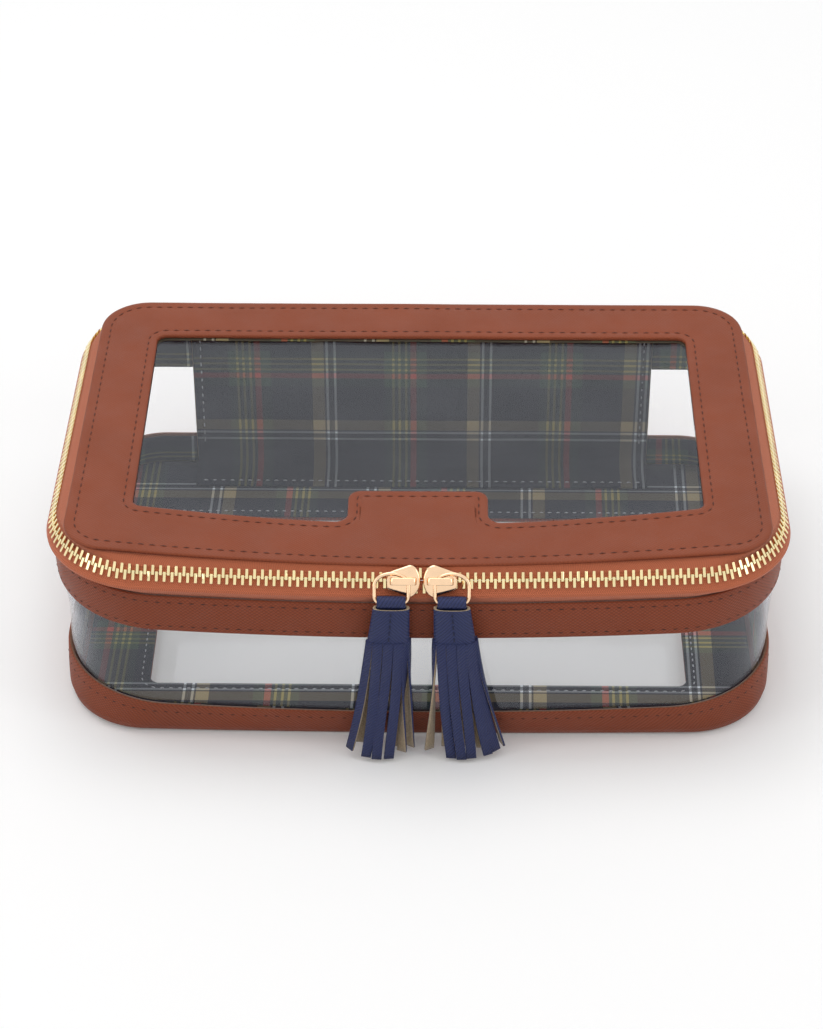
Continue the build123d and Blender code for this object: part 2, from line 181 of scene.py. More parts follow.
def lid_opening():
    """Edge of the lid's window, point for point beside the lid's own outline."""
    back = back_y - lid_back_in - window_margin
    front = back_y - LID[3] + window_margin
    half = LID[1] - window_margin
    bow = LID[4]
    tab_y = front - bow + tab_depth

    def bow_y(x):
        return front - bow * (1 - (x / half) ** 2)

    corner_x = half - window_r
    slope = math.atan(2 * bow * corner_x / half ** 2)
    meet = corner_x + window_r * math.sin(slope)
    corner_y = bow_y(meet) + window_r * math.cos(slope)
    tab_x = tab_half + tab_r
    edge_y = bow_y(tab_x)
    bow_x = np.linspace(meet, tab_x, FRONT // 2, endpoint=False)
    quarter = FRONT // 8
    return window_edge(half, back, corner_y, [
        arc((corner_x, corner_y), window_r, 0, math.degrees(slope) - 90, FRONT_BEND),
        np.stack([bow_x, bow_y(bow_x)], 1),
        arc((tab_x, edge_y + tab_r), tab_r, 270, 180, quarter),
        between((tab_half, edge_y + tab_r), (tab_half, tab_y - tab_r), quarter),
        arc((tab_half - tab_r, tab_y - tab_r), tab_r, 0, 90, quarter),
        between((tab_half - tab_r, tab_y), (0, tab_y), FRONT // 2 - 3 * quarter),
        [[0, tab_y]],
    ])


def floor_opening():
    """Edge of the floor's window, point for point beside the foot's outline."""
    front, back = back_y - HEM[3] + 24.0, back_y - 38.0
    half = HEM[1] - 29.0
    corner_x = half - window_r
    return window_edge(half, back, front + window_r, [
        arc((corner_x, front + window_r), window_r, 0, -90, FRONT_BEND),
        between((corner_x, front), (0, front), FRONT),
        [[0, front]],
    ])


def level_at(z):
    """Outline of the wall at a height, straight between the outlines given."""
    heights = [one[0] for one in WALL]
    return tuple(np.interp(z, heights, [one[k] for one in WALL]) for k in range(7))


def points_at(x, y, z):
    """Points from their coordinates, where one number counts for all."""
    return np.column_stack(np.broadcast_arrays(x, y, z))


def lift(flat, z):
    """Points of a plan at a height."""
    return points_at(flat[:, 0], flat[:, 1], z)


def wall_ring(z, inset, open_half=wall_open):
    """Open ring round the wall, drawn in by an inset."""
    return lift(outline(level_at(z), inset, 0.0, open_half), z)


def parted(x):
    """How far each row of teeth stands off the middle near the sliders."""
    away = np.abs(x - meet_x)
    return part_rise * np.clip((part_end - away) / (part_end - part_full), 0, 1)


def chain_ring(offset):
    """Ring up the zipper's slope by an offset. At the front it parts under the teeth."""
    ring = lift(outline(CHAIN, offset * math.sin(lean), chain_back_in, wall_open),
                chain_z + offset * math.cos(lean))
    if 1 < abs(offset) < 2:
        shift = parted(ring[:, 0]) * np.sign(offset) * (ring[:, 1] < part_y)
        ring += shift[:, None] * np.array([0, math.sin(lean), math.cos(lean)])
    return ring


def smooth_rows(rows, steps):
    """More rows on a smooth curve through the rows given."""
    rows = np.array(rows)
    padded = np.concatenate([[2 * rows[0] - rows[1]], rows, [2 * rows[-1] - rows[-2]]])
    made = []
    for k in range(len(rows) - 1):
        a, b, c, d = padded[k:k + 4]
        for t in np.linspace(0, 1, steps, endpoint=False):
            made.append(0.5 * (2 * b + (c - a) * t + (2 * a - 5 * b + 4 * c - d) * t ** 2
                               + (3 * b - a - 3 * c + d) * t ** 3))
    made.append(rows[-1])
    return np.array(made)


def outward_of(ring, closed=False):
    """Flat directions square to a line, which lead out from a ring."""
    if closed:
        along = np.roll(ring, -1, 0) - np.roll(ring, 1, 0)
    else:
        along = np.gradient(ring, axis=0)
    side = np.stack([along[:, 1], -along[:, 0]], 1)
    return side / np.linalg.norm(side, axis=1)[:, None]


def ripple(x, y, size, seed=0.0):
    """Gentle unevenness of a soft sheet, between about -size and size."""
    return size * (np.sin(x / 17.0 + seed) * np.cos(y / 23.0 - 2 * seed)
                   + 0.5 * np.sin(x / 7.3 + y / 9.1 + 3 * seed)
                   + 0.4 * np.cos(y / 5.9 - x / 12.0 + seed)) / 1.9


def put_in_scene(name, data):
    """A new object that shows a mesh, a light or a camera."""
    thing = bpy.data.objects.new(name, data)
    bpy.context.scene.collection.objects.link(thing)
    return thing


class Builder:
    """Gathers grids of points into one mesh with a map in metres."""

    def __init__(self):
        self.points, self.faces, self.corners, self.slots = [], [], [], []
        self.count = 0

    def grid(self, rows, closed_u=False, closed_v=False, slots=0, flat=None):
        """Faces between rows of points, mapped by flat or else by distance."""
        rows = np.array(rows, float)
        high, wide = rows.shape[:2]
        if isinstance(slots, int):
            slots = [slots] * high
        row, column = rows[high // 2], rows[:, wide // 3]
        u = run_along(np.append(row, row[:1], 0))
        v = run_along(np.append(column, column[:1], 0))
        for r in range(high if closed_v else high - 1):
            below = (r + 1) % high
            for c in range(wide if closed_u else wide - 1):
                near = (c + 1) % wide
                cells = [(r, c), (r, near), (below, near), (below, c)]
                self.faces.append([self.count + a * wide + b for a, b in cells])
                if flat:
                    self.corners += [flat(rows[a, b]) for a, b in cells]
                else:
                    self.corners += [(u[c], v[r]), (u[c + 1], v[r]), (u[c + 1], v[r + 1]),
                                     (u[c], v[r + 1])]
                self.slots.append(slots[r])
        if closed_v and not closed_u:
            for c in (0, wide - 1):
                self.faces.append([self.count + a * wide + c for a in range(high)])
                self.corners += [tuple(rows[a, c][:2]) for a in range(high)]
                self.slots.append(slots[-1])
        self.points.append(rows.reshape(-1, 3))
        self.count += high * wide

    def piece(self, name, body, slot, materials, *nodes):
        """The finished object, which rides on a body in place of CAD nodes."""
        mesh = bpy.data.meshes.new(name)
        mesh.from_pydata((np.concatenate(self.points) * MM).tolist(), [], self.faces)
        made = mesh.uv_layers.new(name="metres")
        made.data.foreach_set("uv", (np.array(self.corners) * MM).astype(np.float32).ravel())
        for one in materials:
            mesh.materials.append(one)
        mesh.polygons.foreach_set("material_index", self.slots)
        mesh.polygons.foreach_set("use_smooth", [True] * len(self.faces))
        shape = bmesh.new()
        shape.from_mesh(mesh)
        bmesh.ops.recalc_face_normals(shape, faces=shape.faces)
        shape.to_mesh(mesh)
        shape.free()
        thing = put_in_scene(name, mesh)
        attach(thing, body)
        if nodes:
            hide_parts(*nodes)
        return thing


def sheet(rows, name, body, slot, materials, node, closed_v=True, **settings):
    """A piece made of one grid, in place of one CAD node."""
    build = Builder()
    build.grid(rows, closed_v=closed_v, **settings)
    return build.piece(name, body, slot, materials, node)


def slab(top):
    """Both faces of a vinyl sheet, given its top."""
    return list(top) + [row - [0, 0, vinyl_t] for row in top[::-1]]


def stitches(build, path, normals, closed=False, pitch=stitch_pitch, length=2.7,
             width=0.52, height=0.30, slot=0):
    """A row of stitches along a path: each one a short thread that dips at its ends."""
    normals = np.broadcast_to(normals, path.shape)
    if closed:
        path, normals = np.append(path, path[:1], 0), np.append(normals, normals[:1], 0)
    run = run_along(path)

    def along_run(distance, values):
        return np.array([np.interp(distance, run, values[:, axis]) for axis in range(3)])

    count = int(run[-1] / pitch)
    for k in range(count):
        middle = (k + 0.5) * run[-1] / count
        place = along_run(middle, path)
        ahead, behind = along_run(middle + 0.5, path), along_run(middle - 0.5, path)
        up = along_run(middle, normals)
        up = up / np.linalg.norm(up)
        along = (ahead - behind) / np.linalg.norm(ahead - behind)
        side = np.cross(up, along)
        along = along + side * draw.uniform(-0.05, 0.05)
        rows = []
        for turn in np.linspace(0, 2 * math.pi, 6, endpoint=False):
            row = []
            for share in (-1.0, -0.72, 0.0, 0.72, 1.0):
                thick = math.sqrt(max(1.08 - share ** 2, 0.0))
                row.append(place + along * share * length / 2
                           + side * math.cos(turn) * width / 2 * thick
                           + up * (math.sin(turn) * height * thick - 0.28 * share ** 2))
            rows.append(row)
        build.grid(rows, closed_v=True, slots=slot)


UP, FORWARD, BACKWARD = (0, 0, 1.0), (0, -1.0, 0), (0, 1.0, 0)
SMALL_STITCH = {"length": 2.0, "width": 0.55, "height": 0.25}
BACK_STITCH = {"length": 2.1, "width": 0.55, "height": 0.25}


class Graph:
    """Nodes of a new material or world, joined by short calls."""

    def __init__(self, name, kind="materials", shader="Principled BSDF"):
        self.owner = getattr(bpy.data, kind).new(name)
        self.owner.use_nodes = True
        self.tree = self.owner.node_tree
        self.shader = self.tree.nodes[shader]

    def add(self, kind, **settings):
        node = self.tree.nodes.new(kind)
        for key, value in settings.items():
            setattr(node, key, value)
        return node

    def join(self, source, target):
        if isinstance(source, (int, float, tuple)):
            target.default_value = source
        else:
            self.tree.links.new(source, target)

    def math(self, operation, first, second=0.0):
        node = self.add("ShaderNodeMath", operation=operation)
        self.join(first, node.inputs[0])
        self.join(second, node.inputs[1])
        return node.outputs[0]

    def mix(self, share, first, second, blend="MIX"):
        node = self.add("ShaderNodeMix", data_type="RGBA", blend_type=blend)
        self.join(share, node.inputs[0])
        self.join(first, node.inputs[6])
        self.join(second, node.inputs[7])
        return node.outputs[2]

    def map_axes(self):
        """The map's two axes, in millimetres."""
        spot = self.add("ShaderNodeTexCoord").outputs["UV"]
        parts = self.add("ShaderNodeSeparateXYZ")
        self.join(spot, parts.inputs[0])
        return [self.math("MULTIPLY", parts.outputs[k], 1000.0) for k in range(2)]

    def noise(self, scale, detail):
        node = self.add("ShaderNodeTexNoise")
        node.inputs["Scale"].default_value = scale
        node.inputs["Detail"].default_value = detail
        self.join(self.add("ShaderNodeTexCoord").outputs["Object"], node.inputs["Vector"])
        return node.outputs["Fac"]

    def wave(self, value, pitch):
        """Sine of a length in millimetres."""
        return self.math("SINE", self.math("MULTIPLY", value, 2 * math.pi / pitch))

    def remap(self, value, low, high, from_low=0.3, from_high=0.7):
        """A value moved from one range to another. Noise lies mostly from 0.3 to 0.7."""
        node = self.add("ShaderNodeMapRange")
        for k, one in enumerate((value, from_low, from_high, low, high)):
            self.join(one, node.inputs[k])
        return node.outputs[0]

    def bump(self, height, strength, distance):
        node = self.add("ShaderNodeBump")
        node.inputs["Strength"].default_value = strength
        node.inputs["Distance"].default_value = distance * MM
        self.join(height, node.inputs["Height"])
        self.set(Normal=node.outputs["Normal"])

    def set(self, **sources):
        """Shader inputs, each from a value or from another node."""
        for key, source in sources.items():
            self.join(source, self.shader.inputs[key.replace("_", " ")])

    def tint(self, share, colour, dark, light):
        """Base colour between two shades of one colour."""
        self.set(Base_Color=self.mix(share, shade(colour, dark), shade(colour, light)))

    def background_rays(self):
        """1 for rays that show the background: straight, mirrored or through a sheet."""
        rays = self.add("ShaderNodeLightPath").outputs
        indirect = self.math("MAXIMUM", rays["Is Glossy Ray"], rays["Is Transmission Ray"])
        return self.math("MAXIMUM", rays["Is Camera Ray"], indirect)


def shade(colour, factor):
    """A colour made lighter or darker, with full alpha."""
    return tuple(one * factor for one in colour[:3]) + (1.0,)


def leather(name, colour, hatch, pitch=1.3, slants=(0.8, -0.8), fold=False, dark=0.5):
    """Embossed leather: fine slanting grooves over a soft grain, mirrored if folded, with
    painted shade in the grooves.
    """
    g = Graph(name)
    u, v = g.map_axes()
    if fold:
        u = g.math("ABSOLUTE", u)
    wander = g.math("MULTIPLY", g.noise(400.0, 1.0), 0.35)
    weave = 1.0
    for slant in slants:
        path = g.math("ADD", g.math("ADD", g.math("MULTIPLY", u, slant), v), wander)
        weave = g.math("MULTIPLY", g.math("ABSOLUTE", g.wave(path, 2 * pitch)), weave)
    grain = g.math("MULTIPLY", g.noise(2200.0, 3.0), 0.5)
    g.bump(g.math("ADD", g.math("MULTIPLY", weave, hatch), grain), 0.5, 0.2)
    cloudy = g.remap(g.noise(38.0, 3.0), 0.0, 1.0)
    worn = g.mix(cloudy, shade(colour, 0.94), shade(colour, 1.05))
    # Painted shade: in the grooves the colour goes a share dark of the way to a much darker
    # shade
    painted_groove_shade = g.remap(weave, dark, 0.0, 0.0, 0.5)
    g.set(Base_Color=g.mix(painted_groove_shade, worn, shade(colour, 0.35)),
          Roughness=g.remap(g.noise(90.0, 2.0), 0.42, 0.56), Specular_IOR_Level=0.3)
    return g.owner


def tartan():
    """Woven check: the same stripes along and across, one over the other, with painted shade
    along the twill's lines.
    """
    g = Graph("tartan_cloth")
    ground, green = (0.016, 0.018, 0.030, 1), (0.040, 0.075, 0.050, 1)
    pale, olive = (0.90, 0.97, 1.0, 1), (0.44, 0.35, 0.18, 1)
    red, yellow = (0.55, 0.085, 0.05, 1), (0.42, 0.37, 0.10, 1)
    stripes = [(0.0, ground), (1.0, pale), (2.0, ground), (20.5, green), (23.6, yellow),
               (24.5, green), (26.1, yellow), (27.0, green), (28.7, yellow), (29.6, green),
               (30.8, red), (33.2, green), (37.0, ground), (52.8, olive), (57.6, ground),
               (58.3, pale), (59.3, ground)]
    shades = []
    for axis in g.map_axes():
        share = g.math("FRACT", g.math("DIVIDE", axis, tartan_sett))
        ramp = g.add("ShaderNodeValToRGB")
        ramp.color_ramp.interpolation = "CONSTANT"
        stops = ramp.color_ramp.elements
        stops.remove(stops[1])
        stops[0].color = stripes[0][1]
        for place, colour in stripes[1:]:
            stops.new(place / tartan_sett).color = colour
        g.join(share, ramp.inputs[0])
        shades.append(ramp.outputs[0])
    u, v = g.map_axes()
    cloth = g.mix(0.52, g.mix(0.5, *shades), g.mix(1.0, *shades, "DARKEN"))
    twill_pitch = 0.8
    twill_with_painted_shade = g.wave(g.math("ADD", u, v), twill_pitch)
    # Painted shade: the check darkens towards black along the twill's lines, by up to a fifth
    cloth = g.mix(g.remap(twill_with_painted_shade, 0.0, 0.22, -1.0, 1.0), cloth, (0.0, 0.0, 0.0, 1))
    g.set(Base_Color=g.mix(g.remap(g.noise(900.0, 2.0), 0.0, 0.02), cloth,
                              (0.10, 0.10, 0.11, 1)))
    g.bump(g.math("ADD", twill_with_painted_shade, g.noise(1500.0, 2.0)), 0.06, 0.1)
    g.set(Roughness=0.85, Specular_IOR_Level=0.2, Sheen_Weight=0.05)
    return g.owner


def woven_tape():
    """Zipper tape: a fine herringbone of ridges along the tape, with painted light and shade on
    the ridges.
    """
    g = Graph("zipper_tape_cloth")
    colour = (0.56, 0.150, 0.066)
    u, v = g.map_axes()
    rib_pitch, cord_pitch = 0.75, 0.8
    rib_with_painted_light_and_shade = g.wave(g.math("ADD", u, g.math("PINGPONG", v, cord_pitch)), rib_pitch)
    cord = g.wave(v, cord_pitch)
    g.bump(g.math("ADD", g.math("MULTIPLY", rib_with_painted_light_and_shade, 0.6), cord), 0.5, 0.14)
    # Painted light and shade: the colour is lighter on the ridges and darker between them
    g.tint(g.remap(rib_with_painted_light_and_shade, 0.0, 1.0, -1.0, 1.0), colour, 0.72, 1.12)
    g.set(Roughness=0.72, Specular_IOR_Level=0.3, Sheen_Weight=0.2)
    return g.owner


def metal(name, colour, smooth, rough):
    """Polished plated metal with faint handling marks."""
    g = Graph(name)
    marks = g.noise(160.0, 4.0)
    g.set(Roughness=g.remap(marks, smooth, rough), Metallic=1.0)
    g.tint(g.remap(marks, 0.0, 1.0), colour, 0.92, 1.05)
    g.bump(g.noise(480.0, 2.0), 0.05, 0.1)
    return g.owner


def fibrous(name, colour, scale, detail, relief, light, **settings):
    """A matt surface whose fine noise gives its relief and its shades."""
    g = Graph(name)
    fibre = g.noise(scale, detail)
    g.bump(fibre, relief[0], relief[1])
    g.tint(g.remap(fibre, 0.0, 1.0), colour, 0.7, light)
    g.set(**settings)
    return g.owner


def suede(name, colour):
    """Napped underside and cut edges of leather."""
    return fibrous(name, colour, 1900.0, 4.0, (0.6, 0.2), 1.2,
                   Roughness=0.9, Specular_IOR_Level=0.15, Sheen_Weight=0.3)


def thread(name, colour):
    """Twisted sewing thread."""
    return fibrous(name, colour, 2200.0, 1.0, (0.4, 0.1), 1.25,
                   Roughness=0.6, Specular_IOR_Level=0.35)


def clear_vinyl():
    """Clear sheet: it lets most light through and mirrors more at a slant."""
    g = Graph("clear_vinyl_sheet")
    rim = g.add("ShaderNodeLayerWeight")
    rim.inputs["Blend"].default_value = 0.5
    slant = g.math("POWER", rim.outputs["Facing"], 5.0)
    g.set(Base_Color=(0.90, 0.93, 1.0, 1), Metallic=1.0,
          Alpha=g.math("ADD", g.math("MULTIPLY", slant, 0.8), 0.035),
          Roughness=g.remap(g.noise(60.0, 3.0), 0.03, 0.10))
    g.bump(g.noise(24.0, 2.0), 0.14, 1.4)
    return g.owner


def board():
    """Pressed fibre of the stiffener."""
    g = Graph("stiff_board")
    fibre = g.noise(500.0, 4.0)
    g.bump(fibre, 0.4, 0.2)
    g.set(Base_Color=g.mix(fibre, (0.32, 0.25, 0.17, 1), (0.52, 0.43, 0.31, 1)),
          Roughness=0.9)
    return g.owner


COGNAC = (0.262, 0.056, 0.0185)
# The last number of each leather says how deep the painted shade in its grooves is
lid_leather = leather("lid_leather", COGNAC, 0.6, 1.1, dark=0.26)
band_leather = leather("band_leather", (0.270, 0.054, 0.017), 1.6, dark=0.62)
NAVY = (0.026, 0.035, 0.112)
head_leather = leather("tassel_head_leather", NAVY, 2.2, 1.3, (1.0,), True, 0.9)
strip_leather = leather("tassel_strip_leather", NAVY, 2.2, 1.3, (1.0,), False, 0.9)
suede_back = suede("tassel_suede", (0.40, 0.31, 0.21))
brown_suede = suede("leather_underside", (0.20, 0.09, 0.05))
tartan_cloth = tartan()
tape_cloth = woven_tape()
brass = metal("zipper_brass_finish", (0.93, 0.79, 0.45), 0.14, 0.26)
rose_gold = metal("rose_gold_finish", (0.97, 0.68, 0.44), 0.07, 0.14)
brown_thread = thread("brown_thread", (0.105, 0.026, 0.013))
dark_thread = thread("dark_thread", (0.045, 0.012, 0.007))
grey_thread = thread("grey_thread", (0.42, 0.43, 0.46))
navy_thread = thread("navy_thread", (0.010, 0.013, 0.045))
vinyl = clear_vinyl()
stiff_board = board()

# Slot and materials of the pieces that share them
BAND = ("cognac_leather", [band_leather])
CLOTH = ("tartan_fabric", [tartan_cloth])
SHEET = ("clear_vinyl", [vinyl])
CAST = ("rose_gold_metal", [rose_gold])


def floor_map(spot):
    return (0.018 * spot[1] - spot[0] - 20.6, spot[1] - 69.6)


def plan_map(spot):
    return (spot[0], spot[1])


def front_map(spot):
    return (spot[0], spot[2])


def band(node, swell):
    """A strip round the case with rounded edges, a little fuller in its middle."""
    low_z, high_z = (corner[2] for corner in box(node))
    edge = 0.5
    profile = [(edge, low_z), (edge * 0.3, low_z + edge * 0.3), (0.0, low_z + edge)]
    row_gap = 2.5
    steps = max(int((high_z - low_z) / row_gap), 3)
    for share in np.linspace(0, 1, steps + 1)[1:-1]:
        bulge = swell * math.sin(math.pi * share)
        profile.append((-bulge, low_z + edge + (high_z - low_z - 2 * edge) * share))
    profile += [(0.0, high_z - edge), (edge * 0.3, high_z - edge * 0.3), (edge, high_z),
                (leather_t, high_z), (leather_t, (low_z + high_z) / 2), (leather_t, low_z)]
    rows = [wall_ring(z, depth) for depth, z in profile]
    sheet(rows, node + "_skin", "case", "cognac_leather", [band_leather, brown_suede], node,
          slots=[0] * (len(rows) - 4) + [1] * 4)


band("lower_band", 0.25)
band("upper_band", 0.35)


def lining_strip(name, node, low_z, high_z):
    """Cloth behind a band: its check runs on round the wall."""
    heights = np.linspace(low_z, high_z, 6)
    rows = [wall_ring(z, lining_inset) for z in heights]
    rows += [wall_ring(z, lining_inset + lining_t) for z in heights[::-1]]
    sheet(rows, name, "case", *CLOTH, node)


lining_strip("lower_lining_cloth", "lower_band_lining", inner_floor_z, low_band_z - lining_t)
lining_strip("upper_lining_cloth", "upper_band_lining", band_low_z, band_top_z)


def clear_strip():
    """Clear wall: a sheet that ripples a little between the bands."""
    low, high = box("clear_wall")
    outer, inner = [], []
    for z in np.linspace(low[2], high[2], 26):
        free = math.sin(math.pi * np.clip((z - low_band_z) / (band_low_z - low_band_z), 0, 1))
        ring = wall_ring(z, leather_t + 0.05)
        out = lift(outward_of(ring), 0.0)
        run = np.arange(len(ring)) * 2.6
        push = (ripple(run, z, 0.55, 0.4) - 0.6) * free
        outer.append(ring + out * push[:, None])
        inner.append(outer[-1] - out * vinyl_t)
    sheet(outer + inner[::-1], "clear_wall_sheet", "case", *SHEET, "clear_wall")


clear_strip()


def ring_sheet(rows_out, opening, rows_in):
    """Rows of a flat frame, from its outer edge to the edge of its window."""
    away = outward_of(opening, True)
    inner = [lift(opening + away * depth, z) for depth, z in rows_in]
    middle = [rows_out[-1] * (1 - share) + inner[0] * share
              for share in np.linspace(0, 1, 7)[1:-1]]
    return list(rows_out) + middle + inner


def sag(points):
    """The lid dips a little in the middle of its front."""
    points = np.array(points)
    reach = np.exp(-(points[..., 0] / 62.0) ** 2) * np.clip((20 - points[..., 1]) / 90, 0, 1)
    points[..., 2] -= 1.1 * reach ** 1.5
    points[..., 2] += ripple(points[..., 0], points[..., 1], 0.12, 1.7)
    return points


def lid_ring(inset, z):
    return lift(outline(LID, inset, lid_back_in, shares=AT_TAB), z)


def lid_pieces():
    """Lid: a leather frame with a rolled rim and two sewn grooves, and its bare tab."""
    thick = lid_top_z - lid_low_z
    skin = [(0.35, -thick), (0.0, -thick + 0.35), (-0.25, -0.75), (0.0, -0.25), (0.45, -0.02),
            (1.2, 0.05), (2.2, 0.0), (2.9, -0.12), (3.4, -0.26), (3.9, -0.14), (4.8, -0.02)]
    outer = [lid_ring(inset, lid_top_z + rise) for inset, rise in skin]
    inner = [(4.6, -0.02), (3.7, -0.13), (3.2, -0.25), (2.7, -0.12), (1.6, 0.02),
             (0.6, -0.05), (0.15, -0.3), (0.0, -0.7), (0.05, -thick)]
    opening = lid_opening()
    rows = sag(ring_sheet(outer, opening, [(inset, lid_top_z + rise) for inset, rise in inner]))
    sheet(rows, "lid_skin", "lid", "cognac_leather", [lid_leather, brown_suede], "lid_frame",
          closed_u=True, flat=plan_map, slots=[0] * (len(rows) - 1) + [1])
    sewing = Builder()
    rim_groove, window_groove, sunk = 3.4, 3.2, 0.15
    stitches(sewing, sag(lid_ring(rim_groove, lid_top_z - sunk - 0.01)), UP, closed=True)
    inner_row = opening + outward_of(opening, True) * window_groove
    stitches(sewing, sag(lift(inner_row, lid_top_z - sunk)), UP, closed=True)
    sewing.piece("lid_stitching", "lid", "cognac_leather", [brown_thread])
    lid_sheet()

    cloth_z = box("lid_lining")[1][2]
    cloth_in = 4.0
    low_rows = [lid_ring(cloth_in, cloth_z - lining_t), lid_ring(cloth_in, cloth_z)]
    rows = sag(ring_sheet(low_rows, opening, [(0.0, cloth_z), (0.0, cloth_z - lining_t)]))
    sheet(rows, "lid_lining_cloth", "lid", *CLOTH, "lid_lining", closed_u=True, flat=floor_map)


def lid_sheet():
    """Clear sheet of the lid: it sinks a little and ripples where nothing holds it."""
    sheet_z = box("lid_window")[1][2]
    hidden, soft_edge = 8.0, 14.0
    half = LID[1] - window_margin
    back = back_y - lid_back_in - window_margin + hidden
    front = back_y - LID[3] + window_margin - hidden
    across = np.linspace(-half - hidden, half + hidden, 60)
    bowed = front - LID[4] * (1 - (across / (half + hidden)) ** 2)
    top = []
    for share in np.linspace(0, 1, 40):
        y = back + (bowed - back) * share
        inside = np.minimum(half - np.abs(across), (share * (1 - share)) * 120)
        loose = np.clip(inside / soft_edge, 0, 1)
        dip = loose * (0.8 + ripple(across, y, 0.4, 0.9))
        top.append(points_at(across, y, sheet_z - dip))
    sheet(slab(sag(top)), "lid_window_sheet", "lid", *SHEET, "lid_window", flat=plan_map)


lid_pieces()


def base_pieces():
    """Floor: leather frame, clear sheet and cloth frame, one on another."""
    opening = floor_opening()
    thick = box("base_frame")[1][2]
    outer = [lift(outline(FOOT, inset), z) for inset, z in
             ((0.6, thick), (0.6, 0.5), (0.75, 0.15), (1.2, 0.0))]
    inner = [(0.8, 0.0), (0.3, 0.1), (0.0, 0.5), (0.0, thick)]
    sheet(ring_sheet(outer, opening, inner), "base_skin", "case", *BAND, "base_frame",
          closed_u=True, flat=plan_map)

    hidden, top_z = 8.0, box("base_window")[1][2]
    low, high = opening.min(0) - hidden, opening.max(0) + hidden
    across = np.linspace(low[0], high[0], 40)
    top = [points_at(across, y, top_z) for y in np.linspace(low[1], high[1], 26)]
    sheet(slab(top), "base_window_sheet", "case", *SHEET, "base_window", flat=plan_map)

    low, high = (corner[2] for corner in box("base_lining"))
    cloth_in, sewn_in = 2.7, 3.0
    outer = [lift(outline(FOOT, cloth_in), z) for z in (low, high)]
    inner = [(0.3, high), (0.0, high - 0.2), (0.0, low)]
    sheet(ring_sheet(outer, opening, inner), "base_lining_cloth", "case", *CLOTH,
          "base_lining", closed_u=True, flat=floor_map)
    sewing = Builder()
    row = lift(opening + outward_of(opening, True) * sewn_in, high)
    stitches(sewing, row, UP, closed=True, pitch=3.2, **SMALL_STITCH)
    sewing.piece("base_stitching", "case", "tartan_fabric", [grey_thread])


base_pieces()


def back_skin():
    """Back: outer leather panel, sewn at its ends and along its top."""
    low, high = box("back_panel")
    low_z, inner_y, outer_y = low[2], low[1], high[1]
    profile = [(inner_y, low_z), (outer_y - 0.8, low_z), (outer_y - 0.2, low_z + 0.3),
               (outer_y, low_z + 1.0)]
    profile += [(outer_y, z) for z in np.linspace(low_z + 1, panel_top_z - 0.6, 24)[1:]]
    profile += [(outer_y - 0.25, panel_top_z - 0.1), (outer_y - 0.7, panel_top_z),
                (inner_y, panel_top_z)]
    across = np.linspace(-panel_half, panel_half, 60)
    sheet([points_at(across, y, z) for y, z in profile], "back_skin", "case", *BAND,
          "back_panel", flat=front_map)

    sewing = Builder()
    sewn_end, sewn_top = 2.6, 3.0
    upward = np.linspace(low_z + sewn_top, panel_top_z - sewn_top, 30)
    for side in (-1, 1):
        stitches(sewing, points_at(side * (panel_half - sewn_end), outer_y, upward), BACKWARD)
    across = np.linspace(-panel_half + sewn_top, panel_half - sewn_top, 40)
    stitches(sewing, points_at(across, outer_y, panel_top_z - sewn_top), BACKWARD)
    sewing.piece("back_stitching", "case", "cognac_leather", [brown_thread])


def back_cloth():
    """Cloth inside the back, which bends at its foot and runs on to the floor."""
    face_y, floor_z = box("back_lining")[1][1], inner_floor_z + 0.1
    bend, cloth_end_y, sewn_y, sewn_end = 7.0, 70.0, 73.0, 3.0
    half, top = panel_half - 0.3, panel_top_z - 0.3
    across = np.linspace(-half, half, 60)
    line = np.concatenate([
        between((face_y, top), (face_y, floor_z + bend), 13),
        arc((face_y - bend, floor_z + bend), bend, 0, -90, 9, last=True),
        [(y, floor_z) for y in np.linspace(face_y - bend, cloth_end_y, 5)[1:]],
    ])
    length = run_along(line)

    def puffed(points):
        made = []
        for y, z in points:
            puff = ripple(across, z, 0.25, 2.2) * (z > 12)
            made.append(points_at(across, y + np.minimum(puff - 0.3, 0), z))
        return made

    def folded_map(spot):
        """Height counts far more than depth, so that one number orders the bent line."""
        run = np.interp(spot[2] * 1000 - spot[1], line[:, 1][::-1] * 1000 - line[:, 0][::-1],
                        length[::-1])
        return (spot[0] - check_x, run - (top - check_z))

    faces = puffed(line) + puffed(line + outward_of(line) * lining_t)[::-1]
    sheet(faces, "back_lining_cloth", "case", *CLOTH, "back_lining", flat=folded_map)
    sewing = Builder()
    upward = np.linspace(floor_z + 9, top - 4, 30)
    for side in (-1, 1):
        path = points_at(side * (half - sewn_end), face_y - lining_t - 0.35, upward)
        stitches(sewing, path, FORWARD, pitch=3.4, **BACK_STITCH)
    across_floor = points_at(np.linspace(-half + 2, half - 2, 40), sewn_y,
                             floor_z + lining_t + 0.05)
    stitches(sewing, across_floor, UP, pitch=3.4, **BACK_STITCH)
    sewing.piece("back_lining_stitching", "case", "tartan_fabric", [grey_thread])


def hinge_fold():
    """Soft fold behind the back panel's top, about which the lid turns."""
    low, high = box("hinge_strip")
    deep, low_z, high_z = high[1] - low[1], low[2], high[2]
    across = np.linspace(-panel_half, panel_half, 60)
    loop = [(0, low_z), (deep * 0.75, low_z), (deep, low_z + 0.5),
            (deep, high_z - 0.9), (deep * 0.7, high_z - 0.25), (0, high_z)]
    sheet([points_at(across, low[1] + y, z) for y, z in loop], "hinge_fold", "case", *BAND,
          "hinge_strip", flat=front_map)


back_skin()
back_cloth()
hinge_fold()


def band_stitching():
    """Sewn rows along both edges of the upper band and the top of the lower one."""
    sewing = Builder()
    low_edge, high_edge = 3.4, 2.3
    for z in (low_band_z - low_edge, band_low_z + high_edge, band_top_z - high_edge):
        path = wall_ring(z, -0.05, wall_open + 2)
        stitches(sewing, path, lift(outward_of(path), 0.0))
    sewing.piece("band_stitching", "case", "cognac_leather", [dark_thread])


band_stitching()


